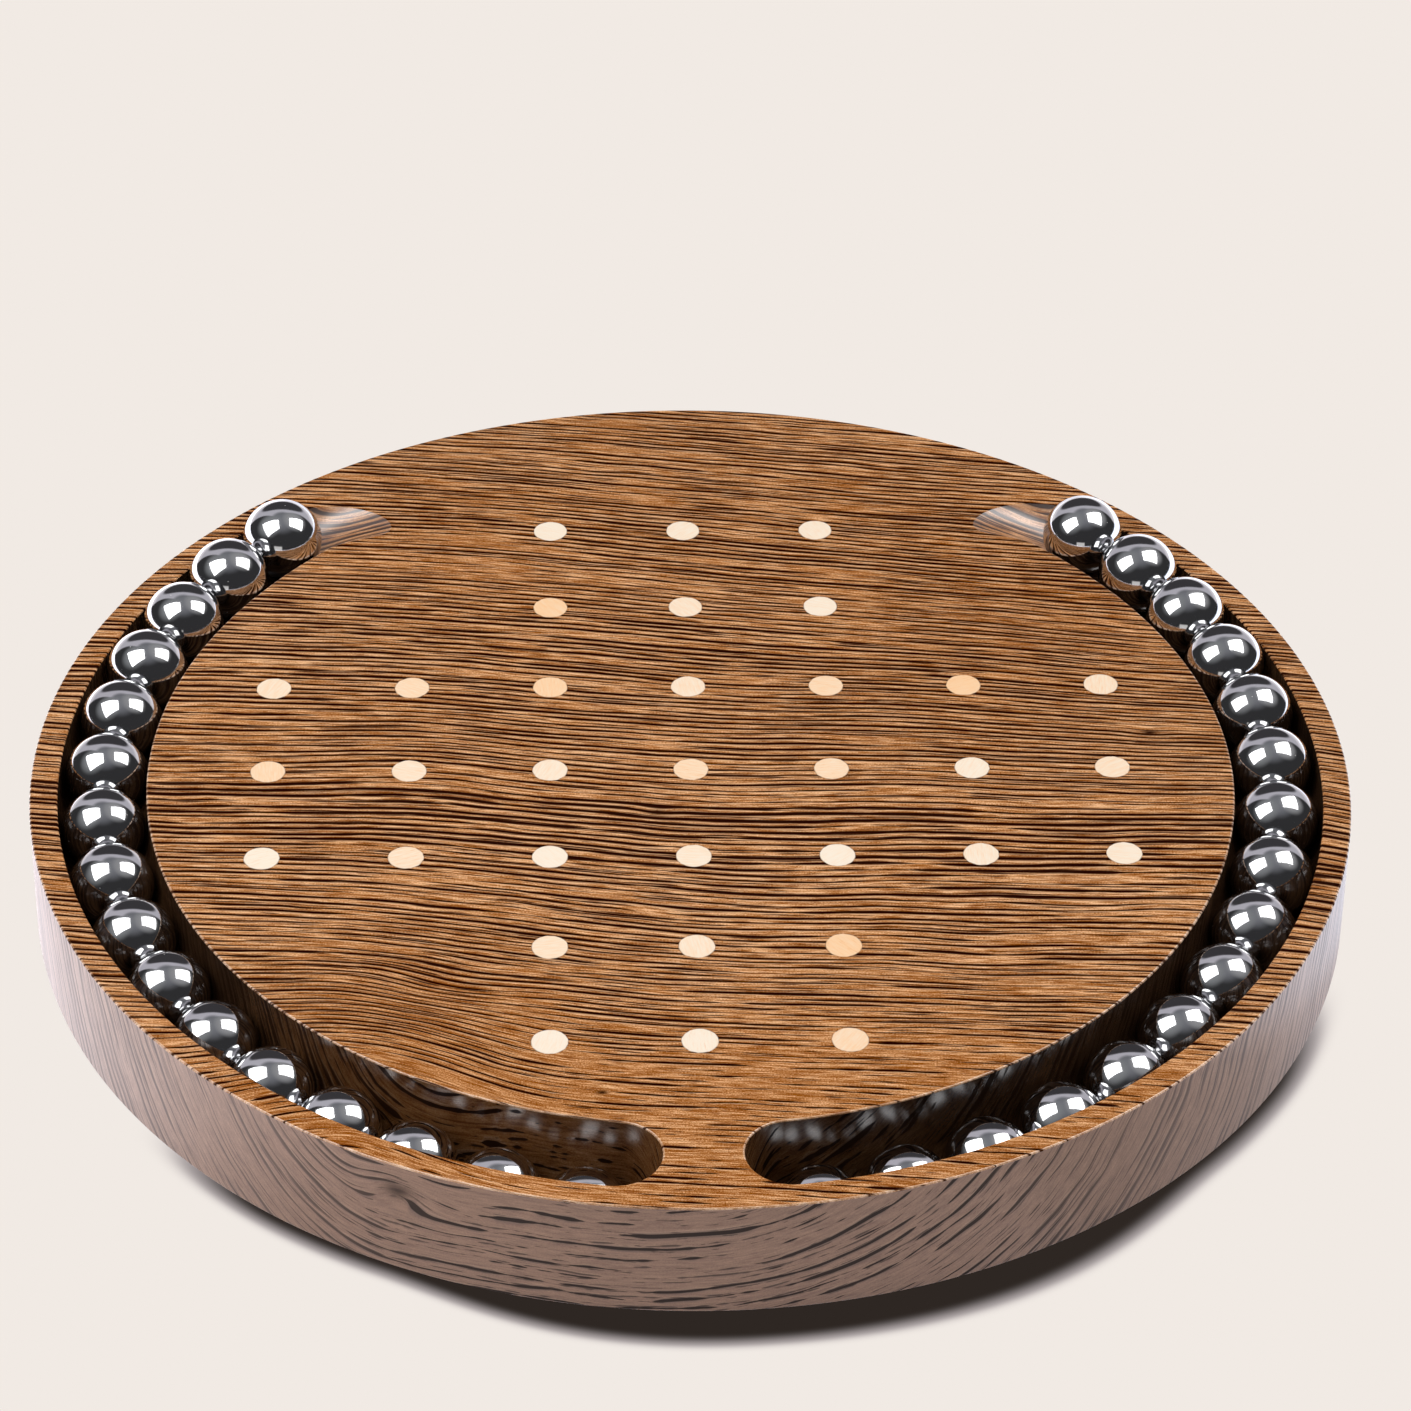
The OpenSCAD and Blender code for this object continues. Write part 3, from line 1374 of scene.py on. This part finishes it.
@dataclass(frozen=True)
class Softbox:
    """A rectangular studio light: its middle, the way it looks and how it is turned."""

    name: str
    middle: Triple
    facing: Triple
    upward: Triple
    width: float
    height: float
    glow: float

    def place(self) -> bpy.types.Object:
        """Adds the light.

        Returns:
            The light.
        """
        data = bpy.data.lights.new(self.name, "AREA")
        data.shape = "RECTANGLE"
        data.size, data.size_y = self.width, self.height
        data.energy = self.glow * math.pi * self.width * self.height
        behind = -Vector(self.facing).normalized()
        across = Vector(self.upward).cross(behind).normalized()
        turn = Matrix((across, behind.cross(across), behind)).transposed().to_4x4()
        turn.translation = Vector(self.middle)
        made = bpy.data.objects.new(self.name, data)
        made.matrix_world = turn
        made.visible_camera = False
        bpy.context.scene.collection.objects.link(made)
        return made


@dataclass(frozen=True)
class Glow:
    """A soft patch of light in the room: its direction, where it fades and its colour."""

    way: Triple
    low: float
    high: float
    colour: Colour


@dataclass
class Studio:
    """A pale sweep, two softboxes and the photographer's place."""

    # The room's parts, as seen in reflections.
    walls: Colour = (0.042, 0.042, 0.044)
    ceiling: Colour = (0.25, 0.255, 0.28)
    glows: tuple[Glow, ...] = (
        Glow((-0.55, -0.15, 0.82), 0.76, 0.98, (0.30, 0.31, 0.32)),
        Glow((0.53, 0.12, 0.84), 0.82, 0.97, (0.38, 0.38, 0.39)),
    )
    sheet_low: Colour = (1.0, 0.95, 0.99)
    sheet_high: Colour = (0.62, 0.60, 0.66)
    opening: Colour = (0.058, 0.055, 0.06)
    window: Colour = (0.80, 0.78, 0.76)
    # The sweep's own colour, for soft light, and what the camera sees of it: the flat backdrop, a
    # painted shadow and its paler painted fringe.
    floor_colour: Colour = (0.90, 0.845, 0.80)
    floor_tone: Colour = (1.0, 0.97, 0.95)
    backdrop: Colour = srgb(241, 234, 228)
    painted_shadow: Colour = srgb(46, 39, 35)
    painted_shadow_fringe: Colour = srgb(190, 181, 181)
    # What reflections see of the sweep: a painted sheen, brighter in bands at the left and right,
    # with painted shade towards the front right. Above 1 it works as light, in reflections only.
    sheen: Colour = (1.18, 1.16, 1.28)
    sheen_painted_shade: Colour = (0.72, 0.76, 0.86)
    sheen_left: Colour = (2.5, 2.45, 2.7)
    sheen_right: Colour = (1.9, 2.05, 2.4)
    # Where the sweep's parts start and end, in millimetres from the middle.
    floor_reach: float = 6000.0
    flat_from: tuple[float, float] = (143.0, 145.0)
    left_band: tuple[float, float] = (-85.0, -150.0)
    right_band: tuple[float, float] = (144.0, 158.0)
    back_shade: tuple[float, float] = (149.5, 158.0)
    # The painted shadow's edge and fade, each with what its fullest side adds.
    shade_edge: tuple[float, float] = (148.0, 6.5)
    shade_fade: tuple[float, float] = (7.5, 1.5)
    shade_way: tuple[float, float] = (0.174, -0.985)
    lights: tuple[Softbox, ...] = (
        Softbox(
            "left softbox", (-0.397, -0.116, 0.704), (0.845, 0.135, -0.517),
            (0.526, -0.040, 0.849), 0.471, 0.670, 4.2,
        ),
        Softbox(
            "right softbox", (0.470, 0.102, 0.794), (-0.838, -0.036, -0.545),
            (-0.526, -0.212, 0.824), 0.485, 0.651, 4.2,
        ),
    )
    sensor: float = 36.0
    lens: float = 134.85
    away: float = 1.22504
    target: Triple = (0.003887, 0.024557, 0.030)
    around: float = -1.7118
    above: float = 36.2657
    roll: float = 0.6949

    def world(self) -> None:
        """Makes the room: dark, with a pale sheet and its dark opening, and a low window."""
        made = bpy.data.worlds.new("studio")
        made.use_nodes = True
        made.node_tree.nodes.clear()
        sketch = Sketch(made.node_tree)
        way = sketch.node("ShaderNodeTexCoord").outputs["Generated"]
        height = sketch.split(way)[2]

        def towards(x: float, y: float, z: float) -> Socket:
            """Measures how far the way leans towards a direction.

            Args:
                x: To the right.
                y: To the back.
                z: Upward.

            Returns:
                The dot product.
            """
            return sketch.vector("DOT_PRODUCT", way, (x, y, z))

        room = sketch.blend(sketch.ramp(height, 0.66, 1.02), self.walls, self.ceiling)
        for glow in self.glows:
            share = sketch.ramp(towards(*glow.way), glow.low, glow.high)
            room = sketch.blend(share, room, glow.colour)
        sheet = sketch.times(
            sketch.ramp(towards(0.574, 0.819, 0.0), 0.0, 0.06),
            sketch.ramp(towards(-0.42, 0.857, -0.315), 0.0, 0.08),
        )
        sheet = sketch.times(sheet, sketch.rest(sketch.ramp(height, 0.83, 0.93)))
        pale = sketch.blend(sketch.ramp(height, 0.08, 0.24), self.sheet_low, self.sheet_high)
        room = sketch.blend(sheet, room, pale)
        aside = sketch.times(towards(1.0, 0.017, 0.0), 1 / 0.56)
        above = sketch.times(towards(0.008, -0.469, 0.883), 1 / 0.40)
        reach = sketch.times(aside, aside)
        reach = sketch.math("SQRT", sketch.scaled(above, above, reach))
        hole = sketch.rest(sketch.ramp(reach, 0.88, 1.05))
        hole = sketch.times(hole, sketch.ramp(towards(-0.015, 0.883, 0.469), 0.2, 0.4))
        room = sketch.blend(hole, room, self.opening)
        window = sketch.size(towards(0.98, -0.17, 0.0))
        window = sketch.rest(sketch.ramp(window, 0.17, 0.21))
        tall = sketch.size(sketch.math("SUBTRACT", height, 0.03))
        window = sketch.times(window, sketch.rest(sketch.ramp(tall, 0.13, 0.17)))
        window = sketch.times(window, sketch.ramp(towards(-0.17, -0.98, 0.0), 0.5, 0.6))
        room = sketch.blend(window, room, self.window)
        rays = sketch.node("ShaderNodeLightPath").outputs
        seen = sketch.blend(rays["Is Camera Ray"], room, self.backdrop)
        ground = sketch.node("ShaderNodeBackground", {"Color": seen, "Strength": 1.0})
        sketch.node("ShaderNodeOutputWorld", {"Surface": ground.outputs[0]})
        bpy.context.scene.world = made

    def floor(self) -> bpy.types.Object:
        """Lays the sweep: flat backdrop with a painted shadow around the board, or a painted sheen
        where it is reflected.

        Returns:
            The floor.
        """
        draft = MeshDraft()
        corners = ((-1, -1), (1, -1), (1, 1), (-1, 1))
        draft.face([(Vector((x, y, 0.0)) * self.floor_reach, UP) for x, y in corners])
        made, sketch, shader = new_material("pale sweep")
        place = place_in_mm(sketch)
        gap = sketch.vector("LENGTH", sketch.vector("MULTIPLY", place, (1.0, 1.0, 0.0)))
        grain = sketch.noise(place, 0.02, 2.0)
        colour = sketch.blend(sketch.times(grain, 0.05), self.floor_colour, self.floor_tone)
        sketch.fill(shader, Base_Color=colour, Roughness=0.9)

        def lean(x: float, y: float) -> Socket:
            """Measures how far the way out from the middle leans towards a flat direction.

            Args:
                x: To the right.
                y: To the back.

            Returns:
                The dot product.
            """
            return sketch.math("DIVIDE", sketch.vector("DOT_PRODUCT", place, (x, y, 0.0)), gap)

        # Painted shadow around the board, widest towards the front right, with a thin band behind
        # it; the camera sees it in place of the real shadow.
        edge, more = self.shade_edge
        core = sketch.scaled(sketch.ramp(lean(*self.shade_way), 0.80, 1.0), more, edge)
        edge, more = self.shade_fade
        fade = sketch.scaled(sketch.ramp(lean(0.707, -0.707), 0.75, 1.0), more, edge)
        shade = sketch.rest(sketch.ramp(gap, core, sketch.math("ADD", core, fade)))
        shade = sketch.times(shade, sketch.ramp(lean(*self.shade_way), 0.40, 0.68))
        behind = sketch.rest(sketch.ramp(gap, *self.back_shade))
        behind = sketch.times(behind, sketch.ramp(lean(0.0, 1.0), 0.35, 0.65))
        shade = sketch.math("MAXIMUM", shade, behind)
        seen = sketch.blend(sketch.ramp(shade, 0.0, 0.5), self.backdrop, self.painted_shadow_fringe)
        seen = sketch.blend(sketch.ramp(shade, 0.15, 1.0), seen, self.painted_shadow)
        rays = sketch.node("ShaderNodeLightPath").outputs
        x = sketch.split(place)[0]
        # Painted sheen for reflections: shaded towards the front right, brighter at the left and
        # right.
        sheen_shade_share = sketch.ramp(lean(0.74, -0.67), 0.93, 0.99)
        sheen = sketch.blend(sheen_shade_share, self.sheen, self.sheen_painted_shade)
        sheen = sketch.blend(sketch.ramp(x, *self.left_band), sheen, self.sheen_left)
        sheen = sketch.blend(sketch.ramp(x, *self.right_band), sheen, self.sheen_right)
        seen = sketch.blend(rays["Is Glossy Ray"], seen, sheen)
        plain = sketch.math("MAXIMUM", rays["Is Camera Ray"], rays["Is Glossy Ray"])
        plain = sketch.times(plain, sketch.ramp(gap, *self.flat_from))
        glow = sketch.node("ShaderNodeEmission", {"Color": seen, "Strength": 1.0})
        mixed = sketch.node(
            "ShaderNodeMixShader", {0: plain, 1: shader.outputs[0], 2: glow.outputs[0]}
        )
        leave = next(n for n in sketch.tree.nodes if n.type == "OUTPUT_MATERIAL")
        sketch.feed(leave.inputs["Surface"], mixed.outputs[0])
        floor = draft.object("floor", made)
        return floor

    def camera(self) -> bpy.types.Object:
        """Sets up the camera as the photograph's was.

        Returns:
            The camera.
        """
        around, above, roll = (math.radians(v) for v in (self.around, self.above, self.roll))
        back = Vector(
            (
                math.sin(around) * math.cos(above),
                -math.cos(around) * math.cos(above),
                math.sin(above),
            )
        )
        right = Vector((math.cos(around), math.sin(around), 0.0))
        up = back.cross(right)
        level = right * math.cos(roll) + up * math.sin(roll)
        upright = right * -math.sin(roll) + up * math.cos(roll)
        data = bpy.data.cameras.new("camera")
        data.sensor_fit = "HORIZONTAL"
        data.sensor_width = self.sensor
        data.lens = self.lens
        data.clip_start, data.clip_end = 0.05, 50.0
        made = bpy.data.objects.new("camera", data)
        turn = Matrix((level, upright, back)).transposed().to_4x4()
        turn.translation = Vector(self.target) + back * self.away
        made.matrix_world = turn
        bpy.context.scene.collection.objects.link(made)
        bpy.context.scene.camera = made
        return made

    def build(self) -> None:
        """Builds the studio."""
        bpy.context.scene.view_settings.view_transform = "Standard"
        self.camera()
        self.world()
        self.floor()
        for light in self.lights:
            light.place()


def main() -> None:
    """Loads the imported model, dresses it and sets up the studio."""
    logging.basicConfig(level=logging.INFO, format="%(name)s: %(message)s")
    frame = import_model()
    Studio().build()
    effects = Effects()
    maple = SandedMaple().material(effects)
    finishes = {
        "marks": maple,
        "magnets": NickelPlate().material(effects),
        "foot": WoolFelt().material(effects),
        "ball": PolishedSteel().material(effects),
    }
    oaks = (
        OiledOak(),
        # The channels' oak, with painted shade.
        OiledOak(
            name="routed oak", painted_shade=0.93, painted_shade_lifted=0.36, film=0.9, film_ior=1.7,
            film_roughness=0.2, contrast=0.5, sparser=0.1, shorter=0.0, faded=0.35,
            strong=PoreSet(1.9, 0.22, 8.0, 24.0, 0.28, 4.0, 2.0),
            second=PoreSet(1.3, 0.17, 5.0, 16.0, 0.34, 31.0, 2.0),
        ),
        OiledOak(
            name="satin oak", pale=srgb(205, 166, 138), plain=srgb(171, 134, 110),
            shade=srgb(143, 110, 90), rust=srgb(140, 104, 84), stain=srgb(112, 88, 76),
            pore=srgb(70, 61, 58), film=1.0, film_roughness=0.34, contrast=0.4,
            sparser=0.1, shorter=0.0, faded=0.6,
            strong=PoreSet(2.0, 0.145, 10.0, 30.0, 0.24, 4.0, 2.5),
            second=PoreSet(1.0, 0.125, 5.0, 20.0, 0.29, 31.0, 2.5),
            second_share=0.65, hair_share=0.3,
        ),
        # Paler oak on the eased edges: a painted highlight along them.
        OiledOak(
            name="eased oak", pale=srgb(252, 218, 186), plain=srgb(228, 180, 138),
            shade=srgb(192, 138, 94), stain=srgb(140, 88, 52), pore=srgb(70, 38, 20),
            film=1.0, film_ior=1.8, film_roughness=0.2,
        ),
        OiledOak(
            name="run-out oak", film=1.0, film_ior=2.3, film_roughness=0.36, dry=0.1,
            pore=srgb(60, 36, 22), contrast=0.6,
        ),
    )
    Board().build([oak.material(effects) for oak in oaks])
    Fittings(finishes).dress(frame["nodes"])


if __name__ == "__main__":
    main()
